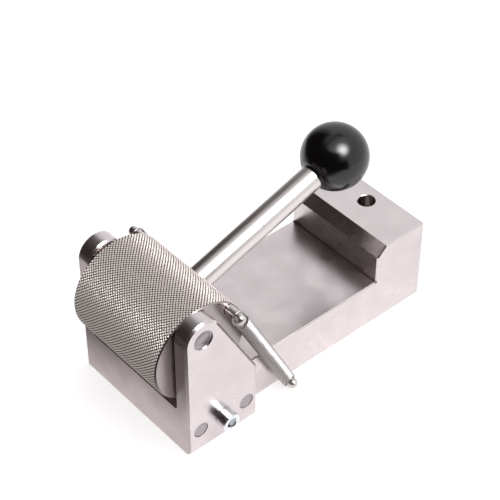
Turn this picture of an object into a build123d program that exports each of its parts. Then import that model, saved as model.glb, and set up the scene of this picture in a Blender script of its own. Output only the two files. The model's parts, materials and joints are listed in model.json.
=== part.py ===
import math
import os

from build123d import *

# Eccentric roller grip for tensile tests, lying on the flat back of its body.
# X runs along the pull, from the open jaw to the end that is hung in the machine.
# Y runs across the jaw, with the near side towards -Y, and Z runs up from the back.
# The origin is the centre of the back. All sizes are millimetres and degrees.

# Body: one milled and ground steel block with a flat jaw floor and a raised ledge.
body_length = 200.0
jaw_width = 77.8
floor_height = 33.2
ledge_length = 40.0
ledge_height = 60.1
ledge_bevel = 6.9
floor_relief = 0.8
body_edge_break = 0.9
mouth_edge_break = 1.2

# Socket for the machine's shank, and the hole for its cross pin.
socket_radius = 10.0
socket_depth = 37.0
socket_lead_in = 1.0
cross_pin_radius = 5.5
cross_pin_from_end = 13.0
cross_pin_lead_in = 0.6

# Side plates: two ground plates on the flanks of the body. Their edges are broken
# all round outside, and inside where they stand clear of the body.
plate_thickness = 11.1
plate_width = 52.3
plate_shoulder_height = 41.0
plate_top_radius = 12.9
plate_edge_break = 1.4
plate_inner_edge_break = 1.1

# Pivot shaft, pressed into both plates and dished at its ends.
shaft_radius = 6.5
shaft_recess = 0.8
shaft_rim = 1.0
shaft_dish_radius = 9.5
shaft_hole_bevel = 0.4

# Dowels and cap screws that hold each plate on the body.
fastener_height = 16.3
first_dowel_from_end = 9.3
screw_from_end = 26.4
second_dowel_from_end = 43.8
dowel_radius = 5.15
dowel_depth_in_body = 12.0
dowel_recess = 0.3
dowel_chamfer = 0.5
screw_radius = 4.0
screw_hole_clearance = 0.3
screw_depth_in_body = 14.0
screw_head_radius = 6.05
screw_head_height = 7.9
screw_head_chamfer = 0.6
hex_across_flats = 6.0
hex_depth = 4.2

# Roller: a knurled steel cylinder that turns about an off-centre bore.
# At rest the bore lies up and back from the roller's axis, at the stated angle from -X.
roller_radius = 32.9
roller_end_gap = 0.5
roller_end_chamfer = 1.1
eccentricity = 22.3
eccentric_angle = 72.775
jaw_gap_at_rest = 0.3
bore_relief = 0.6

# Knurl on the roller: crossed grooves at 45 degrees, drawn a few times wider than the real
# ones and as deep as they are, so that its points can be counted.
knurl_groove_spacing = 4.9
knurl_depth = 0.6

# Flanged bronze bushings, pressed into the roller's bore.
bushing_wall = 1.3
bushing_length = 18.0
flange_width = 1.3
flange_thickness = 2.0
flange_stands_out = 0.25
running_clearance = 0.05

# Lever: a steel rod screwed into the roller's middle, with a ball knob.
lever_tilt = 18.2
rod_radius = 8.05
rod_seat_depth = 9.0
rod_spigot_radius = 6.0
rod_spigot_length = 15.0
rod_chamfer = 0.8
ball_radius = 21.2
ball_centre_reach = 145.0
ball_flat_radius = 10.2
stud_radius = 5.0
stud_length = 20.0
insert_wall = 2.0
insert_spare_depth = 2.0

# Grooved pins that carry the springs, on the roller's ends and on the body's flanks.
pin_radius = 3.175
pin_groove_radius = 2.5
pin_groove_width = 1.5
pin_stands_out = 2.2
pin_seat_depth = 12.0
pin_hole_bevel = 0.4
roller_pin_radius_from_axis = 28.8
roller_pin_angle = 42.7
anchor_pin_from_end = 81.8
anchor_pin_height = 4.6

# Extension springs: a close-wound coil with a loop over each pin.
spring_radius = 4.15
wire_radius = 0.5
spring_from_plate_face = 3.8
hook_play = 0.05
hook_inset = 0.05

# Places worked out from the sizes above.
body_end = body_length / 2
mouth_end = -body_length / 2
ledge_wall = body_end - ledge_length
flank = jaw_width / 2
outer_face = flank + plate_thickness
pivot_x = mouth_end + plate_top_radius
roller_axis_x = pivot_x + eccentricity * math.cos(math.radians(eccentric_angle))
roller_axis_z = floor_height + jaw_gap_at_rest + roller_radius
pivot_height = roller_axis_z + eccentricity * math.sin(math.radians(eccentric_angle))
roller_length = jaw_width - 2 * roller_end_gap
roller_end = roller_length / 2
bushing_radius = shaft_radius + running_clearance + bushing_wall
flange_radius = bushing_radius + flange_width
roller_pin_x = roller_axis_x + roller_pin_radius_from_axis * math.cos(math.radians(roller_pin_angle))
roller_pin_z = roller_axis_z + roller_pin_radius_from_axis * math.sin(math.radians(roller_pin_angle))
anchor_pin_x = mouth_end + anchor_pin_from_end
pin_tip = outer_face + pin_stands_out
hook_plane = outer_face - spring_from_plate_face
fastener_places = {
    "left_dowel": mouth_end + first_dowel_from_end,
    "right_dowel": mouth_end + second_dowel_from_end,
}
screw_x = mouth_end + screw_from_end


# Two places closer than this are taken as the same when edges are picked.
same_place = 0.01


def rod_along_y(radius, start, end, x, z):
    """A round bar or hole along Y between two places."""
    bar = Cylinder(radius, end - start, align=(Align.CENTER, Align.CENTER, Align.MIN))
    return Pos(x, start, z) * Rot(-90, 0, 0) * bar


def cone_along_y(radius, bevel, mouth, x, z):
    """A countersink whose wide end is on the plane y = mouth, towards -Y."""
    cone = Cone(radius + bevel, radius, bevel, align=(Align.CENTER, Align.CENTER, Align.MIN))
    return Pos(x, mouth, z) * Rot(-90, 0, 0) * cone


def both_sides(near_tool):
    """The same tool on the near side and mirrored on the far side."""
    return near_tool + mirror(near_tool, about=Plane.XZ)


def edges_at_y(shape, y):
    """The edges of a shape that lie in one plane across the jaw."""
    return [edge for edge in shape.edges() if max(abs(v.Y - y) for v in edge.vertices()) < same_place]


def edges_across(shape, x, z):
    """The edges of a shape that run across the jaw at one corner of its profile."""
    return [
        edge
        for edge in shape.edges().filter_by(Axis.Y)
        if abs(edge.center().X - x) < same_place and abs(edge.center().Z - z) < same_place
    ]


def grip_body():
    """Floor, ledge with a bevelled inner wall, socket, cross-pin hole and the flank holes."""
    profile = Polyline(
        (mouth_end, 0),
        (body_end, 0),
        (body_end, ledge_height),
        (ledge_wall + ledge_bevel, ledge_height),
        (ledge_wall, ledge_height - ledge_bevel),
        (ledge_wall, floor_height),
        (mouth_end, floor_height),
        close=True,
    )
    block = extrude(Plane.XZ * make_face(profile), amount=flank, both=True)
    block = fillet(edges_across(block, ledge_wall, floor_height), floor_relief)
    block = chamfer(edges_across(block, mouth_end, floor_height), mouth_edge_break)
    end_edges = edges_across(block, body_end, 0) + edges_across(block, body_end, ledge_height)
    block = chamfer(end_edges, body_edge_break)
    for side in (-flank, flank):
        beyond_plate = [
            edge
            for edge in edges_at_y(block, side)
            if edge.center().X > mouth_end + plate_width or abs(edge.center().Z - floor_height) < same_place
        ]
        block = chamfer(beyond_plate, body_edge_break)

    socket = Cylinder(socket_radius, socket_depth, align=(Align.CENTER, Align.CENTER, Align.MAX))
    lead_in = Cone(
        socket_radius,
        socket_radius + socket_lead_in,
        socket_lead_in,
        align=(Align.CENTER, Align.CENTER, Align.MAX),
    )
    block -= Pos(body_end, 0, floor_height) * Rot(0, 90, 0) * (socket + lead_in)

    cross_pin_x = body_end - cross_pin_from_end
    cross_hole = Cylinder(cross_pin_radius, ledge_height, align=(Align.CENTER, Align.CENTER, Align.MIN))
    top_bevel = Cone(
        cross_pin_radius,
        cross_pin_radius + cross_pin_lead_in,
        cross_pin_lead_in,
        align=(Align.CENTER, Align.CENTER, Align.MAX),
    )
    block -= Pos(cross_pin_x, 0, 0) * cross_hole
    block -= Pos(cross_pin_x, 0, ledge_height) * top_bevel

    flank_holes = rod_along_y(screw_radius, -flank, -flank + screw_depth_in_body, screw_x, fastener_height)
    for x in fastener_places.values():
        flank_holes += rod_along_y(dowel_radius, -flank, -flank + dowel_depth_in_body, x, fastener_height)
    flank_holes += rod_along_y(
        pin_radius, -flank, -flank + pin_seat_depth, anchor_pin_x, anchor_pin_height
    )
    return block - both_sides(flank_holes)


def near_plate():
    """Straight mouth edge, round top about the pivot and a slanted rear edge."""
    top = Vector(pivot_x, pivot_height)
    shoulder = Vector(mouth_end + plate_width, plate_shoulder_height)
    reach = shoulder - top
    slant_angle = math.degrees(math.atan2(reach.Y, reach.X) + math.acos(plate_top_radius / reach.length))
    tangent_point = top + Vector(plate_top_radius, 0).rotate(Axis.Z, slant_angle)
    outline = [
        Line((mouth_end, pivot_height), (mouth_end, 0)),
        Line((mouth_end, 0), (shoulder.X, 0)),
        Line((shoulder.X, 0), (shoulder.X, shoulder.Y)),
        Line((shoulder.X, shoulder.Y), (tangent_point.X, tangent_point.Y)),
        CenterArc((top.X, top.Y), plate_top_radius, slant_angle, 180 - slant_angle),
    ]
    face = make_face(Wire(outline))
    plate = Pos(0, -flank, 0) * extrude(Plane.XZ * face, amount=plate_thickness)
    rim = edges_at_y(plate, -outer_face)
    plate = chamfer(rim, plate_edge_break)
    above_body = Pos(0, 0, floor_height) * Box(
        2 * body_length, 2 * body_length, 2 * pivot_height, align=(Align.CENTER, Align.CENTER, Align.MIN)
    )
    upper = plate & above_body
    free_edges = [edge for edge in edges_at_y(upper, -flank) if edge.center().Z > floor_height + same_place]
    plate = (plate - above_body) + chamfer(free_edges, plate_inner_edge_break)
    through = (-outer_face, -flank)
    holes = rod_along_y(shaft_radius, *through, pivot_x, pivot_height)
    holes += cone_along_y(shaft_radius, shaft_hole_bevel, -outer_face, pivot_x, pivot_height)
    holes += rod_along_y(screw_radius + screw_hole_clearance, *through, screw_x, fastener_height)
    for x in fastener_places.values():
        holes += rod_along_y(dowel_radius, *through, x, fastener_height)
    return plate - holes


def near_dowel(x):
    """A plain ground dowel through the plate into the body."""
    dowel = rod_along_y(
        dowel_radius, -outer_face + dowel_recess, -flank + dowel_depth_in_body, x, fastener_height
    )
    return chamfer(dowel.edges().filter_by(GeomType.CIRCLE), dowel_chamfer)


def near_cap_screw():
    """A socket head cap screw whose head stands on the plate's face."""
    head = rod_along_y(
        screw_head_radius, -outer_face - screw_head_height, -outer_face, screw_x, fastener_height
    )
    rim = edges_at_y(head, -outer_face - screw_head_height)
    head = chamfer(rim, screw_head_chamfer)
    corner_radius = hex_across_flats / math.sqrt(3)
    socket = extrude(RegularPolygon(corner_radius, 6), amount=hex_depth)
    head -= Pos(screw_x, -outer_face - screw_head_height, fastener_height) * Rot(-90, 0, 0) * socket
    shank = rod_along_y(
        screw_radius, -outer_face, -flank + screw_depth_in_body, screw_x, fastener_height
    )
    return head + shank


def pivot_shaft():
    """A ground shaft across the jaw with a shallow dish in each end."""
    half = outer_face - shaft_recess
    shaft = rod_along_y(shaft_radius, -half, half, pivot_x, pivot_height)
    dish_depth = shaft_dish_radius - math.sqrt(shaft_dish_radius**2 - (shaft_radius - shaft_rim) ** 2)
    for side in (-1, 1):
        dish_centre = side * (half - dish_depth + shaft_dish_radius)
        shaft -= Pos(pivot_x, dish_centre, pivot_height) * Sphere(shaft_dish_radius)
    return shaft


def knurled_bar():
    """A bar along Y whose side is all four-sided points, in rows that are half a cell apart."""
    cell = knurl_groove_spacing * math.sqrt(2)
    cells_round = round(2 * math.pi * roller_radius / cell)
    cells_along = round(roller_length / cell)
    half_turn = math.pi / cells_round
    half_cell = roller_length / cells_along / 2
    last_row = 2 * cells_along
    root_radius = roller_radius - knurl_depth

    def place(column, row, radius):
        angle = column * half_turn
        return Vector(radius * math.sin(angle), row * half_cell - roller_end, radius * math.cos(angle))

    facets = []
    for row in range(last_row + 1):
        for column in range(row % 2, 2 * cells_round, 2):
            point = place(column, row, roller_radius)
            corners = [(column + 1, row), (column, row + 1), (column - 1, row), (column, row - 1)]
            for first, second in zip(corners, corners[1:] + corners[:1]):
                if all(0 <= corner_row <= last_row for _, corner_row in (first, second)):
                    foot = [place(*first, root_radius), place(*second, root_radius)]
                    facets.append(Face(Wire.make_polygon([point] + foot)))
    for row in (0, last_row):
        rim = [
            place(column, row, root_radius if column % 2 else roller_radius)
            for column in range(2 * cells_round)
        ]
        facets.append(Face(Wire.make_polygon(rim)))
    return Solid(Shell(facets))


def eccentric_roller():
    """The knurled bar with bevelled ends, its off-centre bore, lever seat and pin holes."""
    envelope = rod_along_y(roller_radius + knurl_depth, -roller_end, roller_end, 0, 0)
    envelope = chamfer(envelope.edges().filter_by(GeomType.CIRCLE), roller_end_chamfer + knurl_depth)
    roller = Pos(roller_axis_x, 0, roller_axis_z) * (knurled_bar() & envelope)
    bore = rod_along_y(shaft_radius + bore_relief, -roller_end, roller_end, pivot_x, pivot_height)
    flange_seat = flange_thickness - flange_stands_out
    end_cuts = rod_along_y(
        bushing_radius, -roller_end, -roller_end + flange_seat + bushing_length, pivot_x, pivot_height
    )
    end_cuts += rod_along_y(flange_radius, -roller_end, -roller_end + flange_seat, pivot_x, pivot_height)
    end_cuts += rod_along_y(
        pin_radius, -roller_end, -roller_end + pin_seat_depth, roller_pin_x, roller_pin_z
    )
    end_cuts += cone_along_y(pin_radius, pin_hole_bevel, -roller_end, roller_pin_x, roller_pin_z)
    seat_floor = roller_radius - rod_seat_depth
    seat = Pos(0, 0, seat_floor) * Cylinder(
        rod_radius, 2 * rod_seat_depth, align=(Align.CENTER, Align.CENTER, Align.MIN)
    )
    thread = Pos(0, 0, seat_floor - rod_spigot_length) * Cylinder(
        rod_spigot_radius, rod_spigot_length, align=(Align.CENTER, Align.CENTER, Align.MIN)
    )
    return roller - bore - both_sides(end_cuts) - lever_frame() * (seat + thread)


def lever_frame():
    """The place whose Z axis runs out along the lever from the roller's axis."""
    return Pos(roller_axis_x, 0, roller_axis_z) * Rot(0, 90 - lever_tilt, 0)


def near_bushing():
    """A flanged bushing whose flange takes the roller's side thrust."""
    flange_seat = flange_thickness - flange_stands_out
    start = -roller_end - flange_stands_out
    sleeve = rod_along_y(
        bushing_radius, start, -roller_end + flange_seat + bushing_length, pivot_x, pivot_height
    )
    flange = rod_along_y(flange_radius, start, start + flange_thickness, pivot_x, pivot_height)
    bore = rod_along_y(shaft_radius + running_clearance, -outer_face, 0, pivot_x, pivot_height)
    return sleeve + flange - bore


def lever_rod():
    """A polished bar with a threaded spigot at the roller and a stud in the knob."""
    root = roller_radius - rod_seat_depth
    shoulder = ball_centre_reach - math.sqrt(ball_radius**2 - ball_flat_radius**2)
    bar = Pos(0, 0, root) * Cylinder(
        rod_radius, shoulder - root, align=(Align.CENTER, Align.CENTER, Align.MIN)
    )
    bar = chamfer(bar.edges().filter_by(GeomType.CIRCLE), rod_chamfer)
    spigot = Pos(0, 0, root - rod_spigot_length) * Cylinder(
        rod_spigot_radius, rod_spigot_length, align=(Align.CENTER, Align.CENTER, Align.MIN)
    )
    stud = Pos(0, 0, shoulder) * Cylinder(
        stud_radius, stud_length, align=(Align.CENTER, Align.CENTER, Align.MIN)
    )
    return lever_frame() * (bar + spigot + stud)


def ball_knob():
    """A moulded ball with a flat where the rod meets it and a blind hole for its insert."""
    flat_at = -math.sqrt(ball_radius**2 - ball_flat_radius**2)
    ball = Sphere(ball_radius)
    ball -= Pos(0, 0, flat_at) * Cylinder(
        ball_radius, ball_radius, align=(Align.CENTER, Align.CENTER, Align.MAX)
    )
    pocket = Pos(0, 0, flat_at) * Cylinder(
        stud_radius + insert_wall,
        stud_length + insert_spare_depth,
        align=(Align.CENTER, Align.CENTER, Align.MIN),
    )
    return lever_frame() * Pos(0, 0, ball_centre_reach) * (ball - pocket)


def knob_insert():
    """The threaded metal insert moulded into the ball."""
    flat_at = ball_centre_reach - math.sqrt(ball_radius**2 - ball_flat_radius**2)
    insert = Cylinder(
        stud_radius + insert_wall,
        stud_length + insert_spare_depth,
        align=(Align.CENTER, Align.CENTER, Align.MIN),
    )
    bore = Cylinder(stud_radius, stud_length, align=(Align.CENTER, Align.CENTER, Align.MIN))
    return lever_frame() * Pos(0, 0, flat_at) * (insert - bore)


def near_grooved_pin(seat_face, x, z):
    """A pin with a round nose and a groove that keeps the spring's loop in place."""
    nose_start = -pin_tip + pin_radius
    bar = rod_along_y(pin_radius, nose_start, seat_face + pin_seat_depth, x, z)
    nose = Pos(x, nose_start, z) * Sphere(pin_radius)
    groove_start = -hook_plane - pin_groove_width / 2
    groove = rod_along_y(2 * pin_radius, groove_start, groove_start + pin_groove_width, x, z)
    core = rod_along_y(pin_groove_radius, groove_start, groove_start + pin_groove_width, x, z)
    return bar + nose - groove + core


def near_spring():
    """A close-wound tube of wire with an open loop over the pin at each end."""
    hook_radius = spring_radius - wire_radius - hook_inset
    slack = hook_radius - wire_radius - pin_groove_radius - hook_play
    roller_pin = Vector(roller_pin_x, roller_pin_z)
    anchor_pin = Vector(anchor_pin_x, anchor_pin_height)
    pull = (roller_pin - anchor_pin).normalized()
    top = roller_pin - pull * slack
    bottom = anchor_pin + pull * slack
    hook_length = hook_radius + wire_radius
    tilt = math.degrees(math.atan2(pull.X, pull.Y))
    place = Pos(bottom.X, -hook_plane, bottom.Y) * Rot(0, tilt, 0)
    span = (top - bottom).length
    tube = Pos(0, 0, hook_length) * Cylinder(
        spring_radius, span - 2 * hook_length, align=(Align.CENTER, Align.CENTER, Align.MIN)
    )
    tube -= Pos(0, 0, hook_length) * Cylinder(
        spring_radius - 2 * (wire_radius + hook_inset),
        span - 2 * hook_length,
        align=(Align.CENTER, Align.CENTER, Align.MIN),
    )
    spring = tube
    for end, turn in ((0, 180), (span, 0)):
        leg = hook_length + wire_radius
        path = Plane.XZ * Wire(
            [
                Line((-hook_radius, -leg), (-hook_radius, 0)),
                CenterArc((0, 0), hook_radius, 180, -180),
                Line((hook_radius, 0), (hook_radius, -leg)),
            ]
        )
        section = Plane(origin=(-hook_radius, 0, -leg), z_dir=(0, 0, 1)) * Circle(wire_radius)
        hook = sweep(section, path=path)
        spring += Pos(0, 0, end) * Rot(0, turn, 0) * hook
    return place * spring


def write(name, solid):
    """One STEP file for each piece."""
    solid.label = name
    export_step(solid, f"parts/{name}.step")


os.makedirs("parts", exist_ok=True)

write("grip_body", grip_body())
write("pivot_shaft", pivot_shaft())
write("eccentric_roller", eccentric_roller())
write("lever_rod", lever_rod())
write("ball_knob", ball_knob())
write("knob_insert", knob_insert())

near_pieces = {
    "side_plate": near_plate(),
    "cap_screw": near_cap_screw(),
    "bushing": near_bushing(),
    "roller_pin": near_grooved_pin(-roller_end, roller_pin_x, roller_pin_z),
    "anchor_pin": near_grooved_pin(-flank, anchor_pin_x, anchor_pin_height),
    "spring": near_spring(),
}
for place_name, place_x in fastener_places.items():
    near_pieces[place_name] = near_dowel(place_x)
for piece_name, piece in near_pieces.items():
    write(f"near_{piece_name}", piece)
    write(f"far_{piece_name}", mirror(piece, about=Plane.XZ))
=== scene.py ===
import json
import math

import bpy
from mathutils import Matrix, Vector


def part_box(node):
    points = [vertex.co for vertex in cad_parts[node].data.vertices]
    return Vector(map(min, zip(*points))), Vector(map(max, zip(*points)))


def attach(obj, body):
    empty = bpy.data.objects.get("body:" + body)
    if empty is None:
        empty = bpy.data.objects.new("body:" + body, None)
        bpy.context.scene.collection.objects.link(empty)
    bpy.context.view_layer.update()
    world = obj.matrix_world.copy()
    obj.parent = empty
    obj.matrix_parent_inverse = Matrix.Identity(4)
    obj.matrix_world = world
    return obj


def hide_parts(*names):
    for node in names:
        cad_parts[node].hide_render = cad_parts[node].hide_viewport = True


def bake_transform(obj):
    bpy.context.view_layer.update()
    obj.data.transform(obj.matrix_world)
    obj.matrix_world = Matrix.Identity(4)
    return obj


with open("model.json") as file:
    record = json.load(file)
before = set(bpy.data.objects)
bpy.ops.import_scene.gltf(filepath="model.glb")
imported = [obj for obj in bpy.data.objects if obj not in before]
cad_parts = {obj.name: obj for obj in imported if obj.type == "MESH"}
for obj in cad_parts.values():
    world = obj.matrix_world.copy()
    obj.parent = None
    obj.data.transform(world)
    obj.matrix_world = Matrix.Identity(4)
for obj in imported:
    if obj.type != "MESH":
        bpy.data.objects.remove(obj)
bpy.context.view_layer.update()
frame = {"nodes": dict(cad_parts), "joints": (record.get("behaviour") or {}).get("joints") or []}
nodes = frame["nodes"]
MM = 0.001


# Camera
# A long lens looks down at the near left corner of the grip, from as far as its
# perspective shows. The place it looks at lies between the lever and the jaw floor.
camera_azimuth = math.radians(-40.740)
camera_elevation = math.radians(42.282)
camera_distance = 0.98
camera_target = Vector((-0.3, 11.5, 61.6)) * MM
camera_lens = 115.54

towards_camera = Vector((
    math.sin(camera_azimuth) * math.cos(camera_elevation),
    -math.cos(camera_azimuth) * math.cos(camera_elevation),
    math.sin(camera_elevation),
))
camera_data = bpy.data.cameras.new("camera")
camera_data.lens = camera_lens
camera_data.sensor_width = 36.0
camera = bpy.data.objects.new("camera", camera_data)
camera.location = camera_target + towards_camera * camera_distance
camera.rotation_euler = (math.pi / 2 - camera_elevation, 0, camera_azimuth)
bpy.context.scene.collection.objects.link(camera)
bpy.context.scene.camera = camera
bpy.context.scene.view_settings.view_transform = "Standard"


# Table and white room
# The grip lies on a pale table in a white room. Bare steel mirrors the room, so the table
# and the room show the same white to the camera and to reflections. The sizes of the table,
# the lamp and the curtains are in metres, and a brightness of 1 is white.
table_colour = "#EFEDEC"
table_radius = 6.0
table_glow = 0.57
room_light = 0.42
white = "#FFFFFF"


def linear(hex_colour):
    """The linear colour of an sRGB hex value."""
    channels = [int(hex_colour[i:i + 2], 16) / 255 for i in (1, 3, 5)]
    return [c / 12.92 if c <= 0.04045 else ((c + 0.055) / 1.055) ** 2.4 for c in channels] + [1.0]


def add_node(tree, kind, settings=None, links=None):
    """One node with its properties and socket values set and its inputs linked."""
    node = tree.nodes.new(kind)
    for key, value in (settings or {}).items():
        if isinstance(key, str) and hasattr(node, key):
            setattr(node, key, value)
        else:
            node.inputs[key].default_value = value
    for key, source in (links or {}).items():
        tree.links.new(source, node.inputs[key])
    return node


def new_material(name):
    """An empty node material and its tree."""
    material = bpy.data.materials.new(name)
    material.use_nodes = True
    material.node_tree.nodes.clear()
    return material, material.node_tree


def finish_material(tree, shader):
    """Links the finished shader to the surface."""
    add_node(tree, "ShaderNodeOutputMaterial", None, {"Surface": shader.outputs[0]})


def seen_rays(tree):
    """One for the rays on which the white background shows: camera, glossy and transmission."""
    path = add_node(tree, "ShaderNodeLightPath")
    either = add_node(tree, "ShaderNodeMath", {"operation": "MAXIMUM"},
                      {0: path.outputs["Is Camera Ray"], 1: path.outputs["Is Glossy Ray"]})
    seen = add_node(tree, "ShaderNodeMath", {"operation": "MAXIMUM"},
                    {0: either.outputs[0], 1: path.outputs["Is Transmission Ray"]})
    return seen.outputs[0]


world = bpy.data.worlds.new("white_room")
bpy.context.scene.world = world
world.use_nodes = True
tree = world.node_tree
tree.nodes.clear()
seen = seen_rays(tree)
level = add_node(tree, "ShaderNodeMapRange", {"To Min": room_light, "To Max": 1.0}, {"Value": seen})
background = add_node(tree, "ShaderNodeBackground", {"Color": linear(white)},
                      {"Strength": level.outputs[0]})
add_node(tree, "ShaderNodeOutputWorld", None, {"Surface": background.outputs[0]})

bpy.ops.object.select_all(action="DESELECT")
bpy.ops.mesh.primitive_circle_add(vertices=96, radius=table_radius, fill_type="NGON")
table = bpy.context.object
table.name = "table"
material, tree = new_material("white_table_paper")
seen = seen_rays(tree)
glow = add_node(tree, "ShaderNodeMath", {"operation": "MULTIPLY", 1: table_glow}, {0: seen})
paper = add_node(tree, "ShaderNodeBsdfDiffuse", {"Color": linear(table_colour)})
light = add_node(tree, "ShaderNodeEmission", {"Color": linear(white)}, {"Strength": glow.outputs[0]})
both = add_node(tree, "ShaderNodeAddShader", None, {0: paper.outputs[0], 1: light.outputs[0]})
finish_material(tree, both)
table.data.materials.append(material)


# Soft panel
# A large cloth-fronted lamp hangs over the table. Its front is even, and dims at its rim and
# towards its back. A hotter place where the bulb sits shows as the soft spot on the ball.
panel_direction = Vector((0.0, -0.342, 0.94))
panel_distance = 1.2
panel_size = 1.74
panel_front = 1.6
panel_rim = 1.0
panel_rim_share = 0.25
panel_back = 0.3
panel_bulb = 18.0
panel_light = 1.3
bulb_place = (0.05, -0.30, 0.0)
bulb_radius = 0.55

bpy.ops.object.select_all(action="DESELECT")
bpy.ops.mesh.primitive_plane_add(size=panel_size)
panel = bpy.context.object
panel.name = "soft_panel"
panel.location = panel_direction.normalized() * panel_distance
panel.rotation_euler = panel_direction.to_track_quat("Z", "Y").to_euler()
material, tree = new_material("lit_panel_cloth")
place = add_node(tree, "ShaderNodeTexCoord")
reach = add_node(tree, "ShaderNodeVectorMath", {"operation": "LENGTH"}, {0: place.outputs["Object"]})
half = panel_size / 2
front = add_node(tree, "ShaderNodeMapRange",
                 {"interpolation_type": "SMOOTHSTEP", "From Min": (1 - panel_rim_share) * half,
                  "From Max": half, "To Min": panel_front, "To Max": panel_rim},
                 {"Value": reach.outputs["Value"]})
from_bulb = add_node(tree, "ShaderNodeVectorMath", {"operation": "DISTANCE", 1: bulb_place},
                     {0: place.outputs["Object"]})
bulb = add_node(tree, "ShaderNodeMapRange",
                {"interpolation_type": "SMOOTHSTEP", "From Min": 0.0, "From Max": bulb_radius,
                 "To Min": panel_bulb, "To Max": 0.0}, {"Value": from_bulb.outputs["Value"]})
both = add_node(tree, "ShaderNodeMath", {"operation": "ADD"}, {0: front.outputs[0], 1: bulb.outputs[0]})
parts = add_node(tree, "ShaderNodeSeparateXYZ", None, {0: place.outputs["Object"]})
dimmed = add_node(tree, "ShaderNodeMapRange",
                  {"interpolation_type": "SMOOTHSTEP", "From Min": 0.0, "From Max": half,
                   "To Min": 1.0, "To Max": panel_back}, {"Value": parts.outputs["Y"]})
mirrored = add_node(tree, "ShaderNodeMath", {"operation": "MULTIPLY"},
                    {0: both.outputs[0], 1: dimmed.outputs[0]})
path = add_node(tree, "ShaderNodeLightPath")
level = add_node(tree, "ShaderNodeMapRange", {"To Min": panel_light},
                 {"Value": path.outputs["Is Glossy Ray"], "To Max": mirrored.outputs[0]})
light = add_node(tree, "ShaderNodeEmission", {"Color": linear(white)}, {"Strength": level.outputs[0]})
finish_material(tree, light)
panel.data.materials.append(material)
panel.visible_camera = False
panel.visible_shadow = False


# Dark curtains and painted table shade
# Brown curtains stand round the table except on its right and close the room under the
# panel. A sheet that lies on the table glows with painted light and shade: pale beside the
# grip where the table is lit, and dark further out where the grip's shadow falls. The steel
# mirrors all three.
curtain_colour = "#38302D"
painted_sheet_colour = "#F4ECEA"
painted_sheet_height = 0.0005
painted_sheet_from = -0.100
painted_sheet_to = -0.8
painted_sheet_width = 1.6
painted_sheet_near = 0.88
painted_sheet_far = 0.08
painted_sheet_fade = 0.045
painted_sheet_lean = 0.2
painted_sheet_back = 0.07
painted_sheet_left = -0.19
painted_sheet_notch = 0.7
painted_sheet_back_fade = 0.03


def hang_curtain(name, radius, height, middle, half_width, dark_width, fade_from):
    """A curtain round part of the table that thins out at its top and ends. Angles are in degrees."""
    bpy.ops.object.select_all(action="DESELECT")
    bpy.ops.mesh.primitive_cylinder_add(vertices=144, radius=radius, depth=height,
                                        end_fill_type="NOTHING", location=(0, 0, height / 2))
    curtain = bpy.context.object
    curtain.name = name
    bpy.ops.object.transform_apply(location=True, rotation=True, scale=True)
    bpy.ops.object.mode_set(mode="EDIT")
    bpy.ops.mesh.select_all(action="DESELECT")
    bpy.ops.object.mode_set(mode="OBJECT")
    facing = Vector((math.cos(math.radians(middle)), math.sin(math.radians(middle)), 0))
    for face in curtain.data.polygons:
        face.select = Vector((face.center.x, face.center.y, 0)).angle(facing) > math.radians(half_width)
    bpy.ops.object.mode_set(mode="EDIT")
    bpy.ops.mesh.select_mode(type="FACE")
    bpy.ops.mesh.delete(type="FACE")
    bpy.ops.object.mode_set(mode="OBJECT")
    material, tree = new_material(f"{name}_cloth")
    place = add_node(tree, "ShaderNodeTexCoord")
    parts = add_node(tree, "ShaderNodeSeparateXYZ", None, {0: place.outputs["Object"]})
    aside = add_node(tree, "ShaderNodeVectorMath", {"operation": "DOT_PRODUCT", 1: facing / radius},
                     {0: place.outputs["Object"]})
    fade_up = add_node(tree, "ShaderNodeMapRange",
                       {"interpolation_type": "SMOOTHSTEP", "From Min": fade_from, "From Max": height,
                        "To Min": 0.0, "To Max": 1.0}, {"Value": parts.outputs["Z"]})
    fade_aside = add_node(tree, "ShaderNodeMapRange",
                          {"interpolation_type": "SMOOTHSTEP",
                           "From Min": math.cos(math.radians(half_width)),
                           "From Max": math.cos(math.radians(dark_width)),
                           "To Min": 1.0, "To Max": 0.0}, {"Value": aside.outputs["Value"]})
    fade = add_node(tree, "ShaderNodeMath", {"operation": "MAXIMUM"},
                    {0: fade_up.outputs[0], 1: fade_aside.outputs[0]})
    cloth = add_node(tree, "ShaderNodeEmission", {"Color": linear(curtain_colour)})
    clear = add_node(tree, "ShaderNodeBsdfTransparent")
    finish_material(tree, add_node(tree, "ShaderNodeMixShader", None,
                                   {0: fade.outputs[0], 1: cloth.outputs[0], 2: clear.outputs[0]}))
    curtain.data.materials.append(material)

    # The dark cloth shades nothing, and only mirrors show it.
    curtain.visible_camera = False
    curtain.visible_diffuse = False
    curtain.visible_shadow = False


hang_curtain("tall_curtain", 0.75, 2.6, middle=162, half_width=112, dark_width=75, fade_from=0.85)
hang_curtain("low_curtain", 0.70, 0.50, middle=246, half_width=32, dark_width=27, fade_from=0.28)

# The sheet of painted table light and shade. The camera doesn't see it, and it glows though it is no lamp.
bpy.ops.object.select_all(action="DESELECT")
bpy.ops.mesh.primitive_plane_add(size=1.0)
painted_sheet = bpy.context.object
painted_sheet.name = "painted_table_shade_sheet"
painted_sheet.scale = (abs(painted_sheet_to - painted_sheet_from), painted_sheet_width, 1)
painted_sheet.location = ((painted_sheet_from + painted_sheet_to) / 2, 0, painted_sheet_height)
bpy.ops.object.transform_apply(location=True, rotation=True, scale=True)
material, tree = new_material("painted_table_shade")
place = add_node(tree, "ShaderNodeTexCoord")
outwards = add_node(tree, "ShaderNodeVectorMath", {"operation": "DOT_PRODUCT", 1: (-1, painted_sheet_lean, 0)},
                    {0: place.outputs["Object"]})
away = add_node(tree, "ShaderNodeMapRange",
                {"interpolation_type": "SMOOTHSTEP", "From Min": -painted_sheet_from,
                 "From Max": -painted_sheet_from + painted_sheet_fade, "To Min": painted_sheet_near, "To Max": painted_sheet_far},
                {"Value": outwards.outputs["Value"]})
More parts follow.
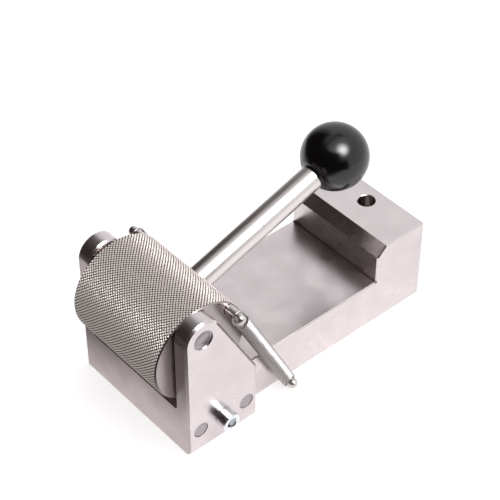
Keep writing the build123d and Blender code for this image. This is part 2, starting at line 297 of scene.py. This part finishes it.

# The painted light is paler again behind the grip, close to its left end.
parts = add_node(tree, "ShaderNodeSeparateXYZ", None, {0: place.outputs["Object"]})
behind = add_node(tree, "ShaderNodeMapRange",
                  {"interpolation_type": "SMOOTHSTEP", "From Min": painted_sheet_back,
                   "From Max": painted_sheet_back + painted_sheet_back_fade, "To Min": 0.0, "To Max": painted_sheet_notch},
                  {"Value": parts.outputs["Y"]})
beside = add_node(tree, "ShaderNodeMapRange",
                  {"interpolation_type": "SMOOTHSTEP", "From Min": painted_sheet_left - painted_sheet_back_fade,
                   "From Max": painted_sheet_left, "To Min": 0.0, "To Max": 1.0},
                  {"Value": parts.outputs["X"]})
notch = add_node(tree, "ShaderNodeMath", {"operation": "MULTIPLY"},
                 {0: behind.outputs[0], 1: beside.outputs[0]})
level = add_node(tree, "ShaderNodeMath", {"operation": "MAXIMUM"},
                 {0: away.outputs[0], 1: notch.outputs[0]})
# Its glow is the painted light and shade.
light = add_node(tree, "ShaderNodeEmission", {"Color": linear(painted_sheet_colour)},
                 {"Strength": level.outputs[0]})
sides = add_node(tree, "ShaderNodeNewGeometry")
clear = add_node(tree, "ShaderNodeBsdfTransparent")
finish_material(tree, add_node(tree, "ShaderNodeMixShader", None,
                               {0: sides.outputs["Backfacing"], 1: light.outputs[0], 2: clear.outputs[0]}))
painted_sheet.data.materials.append(material)
painted_sheet.visible_camera = False
painted_sheet.visible_shadow = False


# Grip body and side plates
# The body is one block of tool steel and the plates are cut from the same stock. All are
# ground on every face, which leaves fine lines along the pull and a faint cloudy bloom. The
# drilled cross hole is left as cut and darker, and painted shade darkens the corner at the
# ledge's foot.
steel_pale = "#D8D0D1"
steel_dark = "#CEC5C7"
drilled_colour = "#B0A6A2"
painted_corner_shade_colour = "#8A7F7B"
bloom_size = 18.0
bloom_share = 0.85
grinding_length = 40.0
grinding_pitch = 1.1
cross_hole_x = 87.0
cross_hole_radius = 5.5
hole_margin = 0.05
hole_fade = 0.15
corner_x = 60.0
corner_z = 33.2
corner_reach = 0.8
corner_fade = 0.3


def object_pattern(tree, kind, sizes, settings=None, centre=(0, 0, 0)):
    """A texture whose features measure the given millimetres along X, Y and Z."""
    place = add_node(tree, "ShaderNodeTexCoord")
    placed = add_node(tree, "ShaderNodeMapping",
                      {"vector_type": "TEXTURE", "Location": [c * MM for c in centre],
                       "Scale": [size * MM for size in sizes]}, {"Vector": place.outputs["Object"]})
    return add_node(tree, kind, settings, {"Vector": placed.outputs[0]})


def axis_distance(tree, centre, plane):
    """The distance from an axis through a point, measured in the plane across the axis."""
    place = add_node(tree, "ShaderNodeTexCoord")
    moved = add_node(tree, "ShaderNodeVectorMath", {"operation": "SUBTRACT", 1: [c * MM for c in centre]},
                     {0: place.outputs["Object"]})
    flat = add_node(tree, "ShaderNodeVectorMath", {"operation": "MULTIPLY", 1: plane},
                    {0: moved.outputs[0]})
    reach = add_node(tree, "ShaderNodeVectorMath", {"operation": "LENGTH"}, {0: flat.outputs[0]})
    return reach.outputs["Value"]


def metal(new, colour, roughness, pattern=None, spread=(0.3, 0.7), depth=0.0, bare=1.0):
    """A metal, with a pattern that varies its roughness between two values and stands in relief.

    The colour is a socket or one colour, and the roughness two values or one. The first comes
    where the pattern is at the low end of its spread. The relief's depth is in millimetres.
    """
    material, tree = new
    settings = {"Metallic": bare}
    links = {}
    if isinstance(colour, bpy.types.NodeSocket):
        links["Base Color"] = colour
    else:
        settings["Base Color"] = colour
    if isinstance(roughness, tuple):
        varied = add_node(tree, "ShaderNodeMapRange",
                          {"From Min": spread[0], "From Max": spread[1],
                           "To Min": roughness[0], "To Max": roughness[1]}, {"Value": pattern})
        links["Roughness"] = varied.outputs[0]
    else:
        settings["Roughness"] = roughness
    if depth > 0:
        relief = add_node(tree, "ShaderNodeBump", {"Strength": 1.0, "Distance": depth * MM},
                          {"Height": pattern})
        links["Normal"] = relief.outputs[0]
    finish_material(tree, add_node(tree, "ShaderNodeBsdfPrincipled", settings, links))
    return material


# Ground tool steel: a satin grey with a warm cast, that mirrors large shapes softly. Its
# grinding lines are finer than the picture shows, so they are drawn 1.1 mm apart.
new = new_material("ground_tool_steel")
tree = new[1]
bloom = object_pattern(tree, "ShaderNodeTexNoise", (bloom_size,) * 3, {"Scale": 1.0, "Detail": 1.5})
lines = object_pattern(tree, "ShaderNodeTexNoise", (grinding_length, grinding_pitch, grinding_pitch),
                       {"Scale": 1.0, "Detail": 2.0})
clouds = add_node(tree, "ShaderNodeMapRange",
                  {"From Min": 0.2, "From Max": 0.8, "To Min": 0.0, "To Max": bloom_share},
                  {"Value": bloom.outputs["Fac"]})
scratches = add_node(tree, "ShaderNodeMapRange",
                     {"From Min": 0.3, "From Max": 0.7, "To Min": 0.0, "To Max": 1 - bloom_share},
                     {"Value": lines.outputs["Fac"]})
mottle = add_node(tree, "ShaderNodeMath", {"operation": "ADD"},
                  {0: clouds.outputs[0], 1: scratches.outputs[0]})
ground = add_node(tree, "ShaderNodeMix",
                  {"data_type": "RGBA", 6: linear(steel_dark), 7: linear(steel_pale)},
                  {0: mottle.outputs[0]})
hole_reach = cross_hole_radius + hole_margin
drilled = add_node(tree, "ShaderNodeMapRange",
                   {"interpolation_type": "SMOOTHSTEP", "From Min": hole_reach * MM,
                    "From Max": (hole_reach + hole_fade) * MM, "To Min": 1.0, "To Max": 0.0},
                   {"Value": axis_distance(tree, (cross_hole_x, 0, 0), (1, 1, 0))})
# Painted shade: a dark line along the corner at the ledge's foot.
painted_corner_shade = add_node(tree, "ShaderNodeMapRange",
                  {"interpolation_type": "SMOOTHSTEP", "From Min": corner_reach * MM,
                   "From Max": (corner_reach + corner_fade) * MM, "To Min": 1.0, "To Max": 0.0},
                  {"Value": axis_distance(tree, (corner_x, 0, corner_z), (1, 0, 1))})
with_hole = add_node(tree, "ShaderNodeMix", {"data_type": "RGBA", 7: linear(drilled_colour)},
                     {0: drilled.outputs[0], 6: ground.outputs[2]})
with_corner = add_node(tree, "ShaderNodeMix", {"data_type": "RGBA", 7: linear(painted_corner_shade_colour)},
                       {0: painted_corner_shade.outputs[0], 6: with_hole.outputs[2]})
ground_steel = metal(new, with_corner.outputs[2], (0.34, 0.24), bloom.outputs["Fac"], spread=(0.35, 0.65))


def dress(node, material):
    """Gives a CAD piece its finish."""
    nodes[node].data.materials.clear()
    nodes[node].data.materials.append(material)


for node in ("grip_body", "near_side_plate", "far_side_plate"):
    dress(node, ground_steel)


# Pivot shaft and dowels
# Ground bars of a darker bearing steel, pressed into the plates. The shaft's ends are
# dished in the lathe, and the dowels' ends are left as sawn and tumbled.
speck_size = 0.9

# Ground bearing steel: a dull, darker grey with fine specks, which are drawn as coarse as
# they need to show.
new = new_material("ground_bearing_steel")
tree = new[1]
grain = object_pattern(tree, "ShaderNodeTexNoise", (speck_size,) * 3, {"Scale": 1.0, "Detail": 4.0})
specks = add_node(tree, "ShaderNodeMapRange", {"From Min": 0.35, "From Max": 0.65},
                  {"Value": grain.outputs["Fac"]})
speckled = add_node(tree, "ShaderNodeMix",
                    {"data_type": "RGBA", 6: linear("#928C91"), 7: linear("#B0AAAD")},
                    {0: specks.outputs[0]})
pin_steel = metal(new, speckled.outputs[2], 0.34, grain.outputs["Fac"], depth=0.02)
for node in ("pivot_shaft", "near_left_dowel", "near_right_dowel", "far_left_dowel", "far_right_dowel"):
    dress(node, pin_steel)


# Bushings
# Sleeves of sintered bronze with a flange, pressed into the roller's bore. They run on the
# shaft, and their flanges keep the roller off the plates.
bronze_grain = 0.4

# Sintered bronze: a dull brown gold with a fine grain, as pressed powder leaves.
new = new_material("sintered_bronze")
tree = new[1]
grain = object_pattern(tree, "ShaderNodeTexNoise", (bronze_grain,) * 3, {"Scale": 1.0, "Detail": 2.0})
grained = add_node(tree, "ShaderNodeMix",
                   {"data_type": "RGBA", 6: linear("#7E6A4C"), 7: linear("#9A825E")},
                   {0: grain.outputs["Fac"]})
bronze = metal(new, grained.outputs[2], 0.38)
for node in ("near_bushing", "far_bushing"):
    dress(node, bronze)


# Cap screws
# Cold-headed screws with a hexagon socket and a rounded rim, plated in bright zinc. One
# stands on each plate and clamps it to the body.
head_radius = 6.05
head_height = 7.9
head_rim = 0.9
hexagon_across_flats = 6.0
hexagon_radius = hexagon_across_flats / math.sqrt(3)
hexagon_depth = 4.2
mouth_rise = 1.0
mouth_wide = 1.2
mouth_depth = 0.9
head_foot = 0.5
shank_radius = 4.0
arc_steps = 5
zinc_ripple = 2.5


def turned(name, steps, x=0.0, z=0.0, sides=96):
    """A piece turned about an axis along Y: a ring drawn out from step to step, closed at its ends."""
    place, radius = steps[0]
    bpy.ops.object.select_all(action="DESELECT")
    bpy.ops.mesh.primitive_circle_add(vertices=sides, radius=radius * MM, fill_type="NGON",
                                      location=(x * MM, place * MM, z * MM), rotation=(math.pi / 2, 0, 0))
    piece = bpy.context.object
    piece.name = name
    bpy.ops.object.transform_apply(location=True, rotation=True, scale=True)
    bpy.ops.object.mode_set(mode="EDIT")
    bpy.ops.mesh.select_mode(type="FACE")
    bpy.ops.mesh.select_all(action="SELECT")
    for next_place, next_radius in steps[1:]:
        bpy.ops.mesh.extrude_region()
        bpy.ops.transform.translate(value=(0, (next_place - place) * MM, 0))
        share = next_radius / radius
        bpy.ops.transform.resize(value=(share, 1, share), center_override=(x * MM, next_place * MM, z * MM))
        place, radius = next_place, next_radius
    bpy.ops.mesh.select_all(action="SELECT")
    bpy.ops.mesh.normals_make_consistent(inside=False)
    bpy.ops.object.mode_set(mode="OBJECT")
    return piece


def select_only(piece):
    """Makes one piece the one that the next operator acts on."""
    bpy.ops.object.select_all(action="DESELECT")
    bpy.context.view_layer.objects.active = piece
    piece.select_set(True)


def apply_modifiers(piece):
    """Makes the shape of a piece's modifiers its own."""
    select_only(piece)
    for modifier in list(piece.modifiers):
        bpy.ops.object.modifier_apply(modifier=modifier.name)


def cut(piece, tool, operation="DIFFERENCE"):
    """Takes a tool's shape out of a piece, or keeps what they share, and removes the tool."""
    modifier = piece.modifiers.new("cut", "BOOLEAN")
    modifier.operation = operation
    modifier.solver = "EXACT"
    modifier.object = tool
    apply_modifiers(piece)
    bpy.data.objects.remove(tool)


def smooth(piece, degrees=35):
    """Shades round surfaces smoothly and keeps the edges crisp."""
    select_only(piece)
    bpy.ops.object.shade_smooth_by_angle(angle=math.radians(degrees))


def middle(node):
    """The middle of a CAD piece at rest, in millimetres."""
    low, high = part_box(node)
    return (low + high) / 2 / MM


def reach_along_y(node, facing):
    """The outer and inner end of a CAD piece on one side of the grip, in millimetres."""
    low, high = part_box(node)
    outer, inner = (low.y, high.y) if facing < 0 else (high.y, low.y)
    return outer / MM, inner / MM


# Bright zinc plate: a clear, slightly blue mirror over a smooth forged surface.
new = new_material("bright_zinc_plate")
tree = new[1]
ripple = object_pattern(tree, "ShaderNodeTexNoise", (zinc_ripple,) * 3, {"Scale": 1.0, "Detail": 1.0})
zinc = metal(new, linear("#DDE0E3"), (0.10, 0.16), ripple.outputs["Fac"], depth=0.01)

for side, facing in (("near", -1), ("far", 1)):
    node = f"{side}_cap_screw"
    x, z = middle(node).x, middle(node).z
    top, bottom = reach_along_y(node, facing)
    under_head = top - facing * head_height
    steps = []
    for i in range(arc_steps + 1):
        angle = math.pi / 2 * i / arc_steps
        steps.append((top - facing * head_rim * (1 - math.cos(angle)),
                      head_radius - head_rim * (1 - math.sin(angle))))
    steps += [(under_head + facing * head_foot, head_radius), (under_head, head_radius - head_foot),
              (under_head, shank_radius), (bottom, shank_radius)]
    screw = turned(f"{side}_zinc_cap_screw", steps, x, z)
    bpy.ops.object.select_all(action="DESELECT")
    bpy.ops.mesh.primitive_cone_add(
        vertices=6, radius1=hexagon_radius * MM, radius2=hexagon_radius * MM,
        depth=2 * hexagon_depth * MM, location=(x * MM, top * MM, z * MM), rotation=(math.pi / 2, 0, 0))
    cut(screw, bpy.context.object)
    cut(screw, turned("mouth", [
        (top + facing * mouth_rise, hexagon_radius + mouth_wide),
        (top - facing * mouth_depth, hexagon_radius - mouth_depth),
    ], x, z))
    smooth(screw)
    screw.data.materials.append(zinc)
    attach(screw, "base")
    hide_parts(node)


# Grooved pins
# Turned steel pins with a round nose, pressed into the roller's ends and the body's flanks.
# A groove near the nose keeps the spring's loop in place.
pin_radius = 3.175
pin_groove_radius = 2.5
pin_groove_width = 1.5
hook_plane = 46.2
nose_steps = 7
lathe_line_length = 9.0
lathe_line_pitch = 0.25

# Turned steel, polished in the lathe: grey, with a clear glint on the nose.
new = new_material("turned_pin_steel")
tree = new[1]
rings = object_pattern(tree, "ShaderNodeTexNoise", (lathe_line_length, lathe_line_pitch, lathe_line_length),
                       {"Scale": 1.0, "Detail": 1.0})
turned_steel = metal(new, linear("#CEC9C8"), (0.26, 0.34), rings.outputs["Fac"])

for side, facing in (("near", -1), ("far", 1)):
    for kind, body in (("roller", "roller"), ("anchor", "base")):
        node = f"{side}_{kind}_pin"
        tip, seat = reach_along_y(node, facing)
        groove = facing * hook_plane
        half_groove = facing * pin_groove_width / 2
        steps = []
        for i in range(1, nose_steps + 1):
            angle = math.pi / 2 * i / nose_steps
            steps.append((tip - facing * pin_radius * (1 - math.cos(angle)), pin_radius * math.sin(angle)))
        steps += [(groove + half_groove, pin_radius), (groove + half_groove, pin_groove_radius),
                  (groove - half_groove, pin_groove_radius), (groove - half_groove, pin_radius),
                  (seat, pin_radius)]
        pin = turned(f"{side}_{kind}_grooved_pin", steps, middle(node).x, middle(node).z, sides=48)
        smooth(pin)
        pin.data.materials.append(turned_steel)
        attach(pin, body)
        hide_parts(node)


# Roller
# A solid steel cylinder with a coarse diamond knurl rolled into its face, turned flat at
# its ends and bevelled. Its bore is off centre, holes take the lever and the pins, and each
# pin stands in a shallow recess.
roller_radius = 32.9
roller_bevel = 1.1
knurl_pitch = 25.4 / 16
knurl_depth = 0.6
knurl_flat = 0.3
# The height above the grooves' floor where the painted shade and dirt give way to the bright points.
knurl_dirt_and_shade = 0.205
dirt_and_shade_edge = 0.04
bore_radius = 7.1
bushing_radius = 7.85
bushing_depth = 19.75
flange_radius = 9.15
flange_depth = 1.75
pin_hole_depth = 12.0
pin_recess = 0.4
pin_recess_depth = 1.0
lever_tilt = math.radians(18.2)
rod_radius = 8.05
rod_seat_floor = 23.9
spigot_radius = 6.0
spigot_floor = 8.9
spare = 2.0
weld_distance = 0.02
plane_tolerance = 0.001
facing_rings = 5.0

pivot = Vector(frame["joints"][0]["pos_m"]) / MM
roller_axis = middle("eccentric_roller")
roller_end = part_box("eccentric_roller")[1].y / MM
cell_length = knurl_pitch * math.sqrt(2)
cells_round = round(2 * math.pi * roller_radius / cell_length)
cells_along = math.ceil(roller_end / cell_length)
cell_angle = 2 * math.pi / cells_round
root_radius = roller_radius - knurl_depth
half_round = root_radius * math.sin(cell_angle / 2)
sagitta = root_radius * (1 - math.cos(cell_angle / 2))

# One cell of the knurl is a pyramid with its point ground flat. Its foot lies on the root
# circle, with two corners along the roller and two round it.
bpy.ops.object.select_all(action="DESELECT")
bpy.ops.mesh.primitive_cone_add(vertices=4, radius1=cell_length / 2 * MM, radius2=knurl_flat * MM,
                                depth=knurl_depth * MM,
                                location=(0, 0, (root_radius + knurl_depth / 2) * MM))
roller = bpy.context.object
roller.name = "knurled_roller"
bpy.ops.object.transform_apply(location=True, rotation=True, scale=True)
bpy.ops.object.mode_set(mode="EDIT")
bpy.ops.mesh.select_mode(type="FACE")
bpy.ops.mesh.select_all(action="DESELECT")
bpy.ops.object.mode_set(mode="OBJECT")
for face in roller.data.polygons:
    face.select = face.normal.z < -0.9
bpy.ops.object.mode_set(mode="EDIT")
bpy.ops.mesh.delete(type="ONLY_FACE")
bpy.ops.mesh.select_mode(type="VERT")
bpy.ops.object.mode_set(mode="OBJECT")
for vertex in roller.data.vertices:
    vertex.select = abs(vertex.co.x) > 0.9 * cell_length / 2 * MM
bpy.ops.object.mode_set(mode="EDIT")
share = half_round / (cell_length / 2)
bpy.ops.transform.resize(value=(share, 1, 1), center_override=(0, 0, 0))
bpy.ops.transform.translate(value=(0, 0, -sagitta * MM))
bpy.ops.object.mode_set(mode="OBJECT")

# A row of cells along the roller, a second row half a cell on, and both repeated round it.
row = roller.modifiers.new("row", "ARRAY")
row.use_relative_offset = False
row.use_constant_offset = True
row.constant_offset_displace = (0, cell_length * MM, 0)
row.count = 2 * cells_along + 1
apply_modifiers(roller)
bpy.ops.object.mode_set(mode="EDIT")
bpy.ops.mesh.select_all(action="SELECT")
bpy.ops.transform.translate(value=(0, -cells_along * cell_length * MM, 0))
bpy.ops.mesh.duplicate_move(TRANSFORM_OT_translate={"value": (0, cell_length / 2 * MM, 0)})
bpy.ops.transform.rotate(value=cell_angle / 2, orient_axis="Y", center_override=(0, 0, 0))
for end in (-1, 1):
    bpy.ops.mesh.select_all(action="SELECT")
    bpy.ops.mesh.bisect(plane_co=(0, end * roller_end * MM, 0), plane_no=(0, end, 0), clear_outer=True,
                        threshold=plane_tolerance * MM)
bpy.ops.mesh.select_all(action="SELECT")
bpy.ops.mesh.spin(steps=cells_round - 1, dupli=True, angle=2 * math.pi - cell_angle,
                  center=(0, 0, 0), axis=(0, 1, 0))
bpy.ops.mesh.select_all(action="SELECT")
bpy.ops.mesh.remove_doubles(threshold=weld_distance * MM)
bpy.ops.mesh.select_all(action="SELECT")
bpy.ops.mesh.fill_holes(sides=0)
bpy.ops.mesh.select_all(action="SELECT")
bpy.ops.mesh.normals_make_consistent(inside=False)
bpy.ops.transform.translate(value=(roller_axis.x * MM, 0, roller_axis.z * MM))
bpy.ops.object.mode_set(mode="OBJECT")

envelope = turned("envelope", [
    (-roller_end, roller_radius - roller_bevel),
    (-roller_end + roller_bevel + spare, roller_radius + spare),
    (roller_end - roller_bevel - spare, roller_radius + spare),
    (roller_end, roller_radius - roller_bevel),
], roller_axis.x, roller_axis.z, sides=2 * cells_round)
cut(roller, envelope, "INTERSECT")
cut(roller, turned("bore", [
    (-roller_end - spare, flange_radius), (-roller_end + flange_depth, flange_radius),
    (-roller_end + flange_depth, bushing_radius), (-roller_end + bushing_depth, bushing_radius),
    (-roller_end + bushing_depth, bore_radius), (roller_end - bushing_depth, bore_radius),
    (roller_end - bushing_depth, bushing_radius), (roller_end - flange_depth, bushing_radius),
    (roller_end - flange_depth, flange_radius), (roller_end + spare, flange_radius),
], pivot.x, pivot.z))
for side, facing in (("near", -1), ("far", 1)):
    place = middle(f"{side}_roller_pin")
    face = facing * roller_end
    cut(roller, turned("pin_hole", [
        (face + facing * spare, pin_radius + pin_recess),
        (face - facing * pin_recess_depth, pin_radius + pin_recess),
        (face - facing * pin_recess_depth, pin_radius),
        (face - facing * pin_hole_depth, pin_radius),
    ], place.x, place.z, sides=48))


def along_lever(piece):
    """Turns a piece that was made along Y from the origin onto the lever's line."""
    line = Vector((math.cos(lever_tilt), 0, math.sin(lever_tilt)))
    turn = Vector((0, 1, 0)).rotation_difference(line).to_matrix().to_4x4()
    piece.matrix_world = Matrix.Translation(Vector((roller_axis.x, 0, roller_axis.z)) * MM) @ turn
    select_only(piece)
    bpy.ops.object.transform_apply(location=True, rotation=True, scale=True)
    return piece


cut(roller, along_lever(turned("lever_seat", [
    (spigot_floor, spigot_radius), (rod_seat_floor, spigot_radius), (rod_seat_floor, rod_radius),
    (roller_radius + spare, rod_radius),
])))
smooth(roller, 25)

# Knurled steel: bright points over duller flanks. The points are part wear and part painted highlight, and
# the grooves are painted near black, part dirt and part painted shade.
new = new_material("knurled_steel")
tree = new[1]
dirt_and_shade_radius = root_radius + knurl_dirt_and_shade
rise = add_node(tree, "ShaderNodeMapRange",
                {"interpolation_type": "SMOOTHSTEP", "From Min": (dirt_and_shade_radius - dirt_and_shade_edge) * MM,
                 "From Max": (dirt_and_shade_radius + dirt_and_shade_edge) * MM, "To Min": 0.0, "To Max": 1.0},
                {"Value": axis_distance(tree, roller_axis, (1, 0, 1))})
# Painted light and shade: near white towards the points and near black in the grooves, part wear and dirt.
wear_dirt_and_painted_light = add_node(tree, "ShaderNodeMix",
                {"data_type": "RGBA", 6: linear("#0A0706"), 7: linear("#FFF3EE")},
                {0: rise.outputs[0]})
knurled_steel = metal(new, wear_dirt_and_painted_light.outputs[2], (0.60, 0.40), rise.outputs[0], spread=(0.0, 1.0), bare=0.15)

# Turned end faces: rings about the roller's axis from the facing cut. The real ones are too
# fine to show, so three are drawn in every 5 mm.
new = new_material("faced_steel")
tree = new[1]
rings = object_pattern(tree, "ShaderNodeTexWave", (facing_rings,) * 3,
                       {"wave_type": "RINGS", "rings_direction": "Y", "Scale": 1.0, "Distortion": 0.4},
                       centre=(roller_axis.x, 0, roller_axis.z))
faced_steel = metal(new, linear("#A9A1A0"), (0.30, 0.34), rings.outputs["Fac"], spread=(0.0, 1.0))
roller.data.materials.clear()
roller.data.materials.append(knurled_steel)
roller.data.materials.append(faced_steel)
for face in roller.data.polygons:
    face.material_index = 1 if abs(face.normal.y) > 0.6 else 0
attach(roller, "roller")
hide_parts("eccentric_roller")


# Lever rod
# A steel bar with a spigot that screws into the roller and a stud that screws into the knob.
# Its side is ground and polished all over.
bar_haze = 12.0

# Polished bar: one broad bright streak with soft edges, a little hazy from handling.
new = new_material("polished_bar")
tree = new[1]
haze = object_pattern(tree, "ShaderNodeTexNoise", (bar_haze,) * 3, {"Scale": 1.0, "Detail": 2.0})
polished = metal(new, linear("#DCD6D5"), (0.27, 0.30), haze.outputs["Fac"])
dress("lever_rod", polished)


# Ball knob and its insert
# A compression-moulded ball of black phenolic, as glossy as its mould, with a brass
# insert that takes the lever's stud. It has a flat where the rod meets it.
ball_radius = 21.2
ball_reach = 145.0
ball_flat_radius = 10.2
insert_radius = 7.0
insert_depth = 22.0
ball_steps = 40
ball_haze = 14.0
brass_haze = 6.0

ball_flat = math.sqrt(ball_radius**2 - ball_flat_radius**2)
flat_angle = math.asin(ball_flat_radius / ball_radius)
steps = [(ball_reach - ball_flat + insert_depth, insert_radius), (ball_reach - ball_flat, insert_radius)]
for i in range(ball_steps):
    angle = flat_angle + (math.pi - flat_angle) * i / ball_steps
    steps.append((ball_reach - ball_radius * math.cos(angle), ball_radius * math.sin(angle)))
ball = along_lever(turned("black_ball", steps))
smooth(ball)

# Black phenolic: a deep gloss, hazed a little by handling.
material, tree = new_material("black_phenolic")
haze = object_pattern(tree, "ShaderNodeTexNoise", (ball_haze,) * 3, {"Scale": 1.0, "Detail": 3.0})
hazed = add_node(tree, "ShaderNodeMapRange",
                 {"From Min": 0.3, "From Max": 0.7, "To Min": 0.14, "To Max": 0.20},
                 {"Value": haze.outputs["Fac"]})
shader = add_node(tree, "ShaderNodeBsdfPrincipled", {"Base Color": linear("#060607"), "IOR": 1.55},
                  {"Roughness": hazed.outputs[0]})
finish_material(tree, shader)
ball.data.materials.append(material)
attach(ball, "roller")
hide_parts("ball_knob")

# Turned brass: a clear yellow, slightly clouded.
new = new_material("turned_brass")
tree = new[1]
haze = object_pattern(tree, "ShaderNodeTexNoise", (brass_haze,) * 3, {"Scale": 1.0, "Detail": 1.0})
dress("knob_insert", metal(new, linear("#C8A860"), (0.24, 0.30), haze.outputs["Fac"]))


# Springs
# Extension springs of hard-drawn wire, wound close, with an open loop bent up at each end.
# Each hangs between the grooves of a roller pin and an anchor pin. Its turns are drawn
# coarser and further apart than the real ones, which are too fine to show.
spring_radius = 4.75
wire_radius = 0.55
turn_pitch = 1.6
wire_sides = 8
steps_per_turn = 24
coil_radius = spring_radius - wire_radius
hook_slack = 1.2
hook_reach = 3.9
hook_gap = 0.3
bend_radius = 0.9
bend_steps = 5
loop_steps = 20
join_distance = 0.001
wire_haze = 3.0

near_top = middle("near_roller_pin")
near_bottom = middle("near_anchor_pin")
pull = Vector((near_top.x - near_bottom.x, 0, near_top.z - near_bottom.z))
hook_span = pull.length - 2 * hook_slack
turns = math.floor((hook_span - 2 * hook_reach) / turn_pitch)
coil_half = turns * turn_pitch / 2
leg = hook_span / 2 - coil_half - bend_radius


def wire_start(name):
    """The wire's round section, standing where a turn of the coil begins."""
    bpy.ops.object.select_all(action="DESELECT")
    bpy.ops.mesh.primitive_circle_add(vertices=wire_sides, radius=wire_radius * MM,
                                      location=(coil_radius * MM, 0, 0), rotation=(math.pi / 2, 0, 0))
    piece = bpy.context.object
    piece.name = name
    bpy.ops.object.transform_apply(location=True, rotation=True, scale=True)
    return piece


coil = wire_start("coil")
screw = coil.modifiers.new("turns", "SCREW")
screw.axis = "Z"
screw.screw_offset = turn_pitch * MM
screw.iterations = turns
screw.steps = steps_per_turn
screw.render_steps = steps_per_turn
screw.use_merge_vertices = False
apply_modifiers(coil)
bpy.ops.object.mode_set(mode="EDIT")
bpy.ops.mesh.select_all(action="SELECT")
bpy.ops.transform.translate(value=(0, 0, -coil_half * MM))
bpy.ops.object.mode_set(mode="OBJECT")

hook = wire_start("hook")
bpy.ops.object.mode_set(mode="EDIT")
bpy.ops.mesh.select_all(action="SELECT")
bpy.ops.transform.translate(value=(0, 0, coil_half * MM))
bend_height = (coil_half + bend_radius) * MM
bpy.ops.mesh.spin(steps=bend_steps, angle=-math.pi / 2, center=(coil_radius * MM, 0, bend_height),
                  axis=(1, 0, 0))
hook_height = bend_height + leg * MM
bpy.ops.mesh.extrude_region_move(TRANSFORM_OT_translate={"value": (0, 0, leg * MM)})
bpy.ops.mesh.spin(steps=loop_steps, angle=math.pi, center=(0, bend_radius * MM, hook_height),
                  axis=(0, 1, 0))
bpy.ops.mesh.extrude_region_move(TRANSFORM_OT_translate={"value": (0, 0, -(leg - hook_gap) * MM)})

# The same loop again at the other end, turned over, and all joined into one wire.
bpy.ops.mesh.select_all(action="SELECT")
bpy.ops.mesh.duplicate()
bpy.ops.transform.rotate(value=math.pi, orient_axis="X", center_override=(0, 0, 0))
bpy.ops.object.mode_set(mode="OBJECT")
bpy.ops.object.select_all(action="DESELECT")
coil.select_set(True)
hook.select_set(True)
bpy.context.view_layer.objects.active = coil
bpy.ops.object.join()
bpy.ops.object.mode_set(mode="EDIT")
bpy.ops.mesh.select_all(action="SELECT")
bpy.ops.mesh.remove_doubles(threshold=join_distance * MM)
bpy.ops.mesh.select_all(action="SELECT")
bpy.ops.mesh.fill_holes(sides=0)
bpy.ops.mesh.select_all(action="SELECT")
bpy.ops.mesh.normals_make_consistent(inside=False)
bpy.ops.object.mode_set(mode="OBJECT")
smooth(coil, 60)

# Hard-drawn spring wire: bright, with drawing haze along the wire.
new = new_material("drawn_spring_wire")
tree = new[1]
haze = object_pattern(tree, "ShaderNodeTexNoise", (wire_haze,) * 3, {"Scale": 1.0, "Detail": 2.0})
spring_wire = metal(new, linear("#C4C0C0"), (0.30, 0.38), haze.outputs["Fac"])
coil.data.materials.clear()
coil.data.materials.append(spring_wire)

centre = (near_top + near_bottom) / 2
slant = math.atan2(pull.x, pull.z)
lean = math.asin(2 * bend_radius / hook_span)
for side, facing in (("near", -1), ("far", 1)):
    spring = coil.copy()
    spring.data = coil.data.copy()
    spring.name = f"{side}_coil_spring"
    bpy.context.scene.collection.objects.link(spring)
    place = Vector((centre.x, facing * hook_plane, centre.z)) * MM
    mirror = Matrix.Scale(-1, 4, (0, 1, 0)) if facing > 0 else Matrix.Identity(4)
    spring.matrix_world = (Matrix.Translation(place) @ mirror @ Matrix.Rotation(slant, 4, "Y")
                           @ Matrix.Rotation(lean, 4, "X"))
    select_only(spring)
    bpy.ops.object.transform_apply(location=True, rotation=True, scale=True)
    bpy.ops.object.mode_set(mode="EDIT")
    bpy.ops.mesh.select_all(action="SELECT")
    bpy.ops.mesh.normals_make_consistent(inside=False)
    bpy.ops.object.mode_set(mode="OBJECT")
    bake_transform(spring)
    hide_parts(f"{side}_spring")
bpy.data.objects.remove(coil)
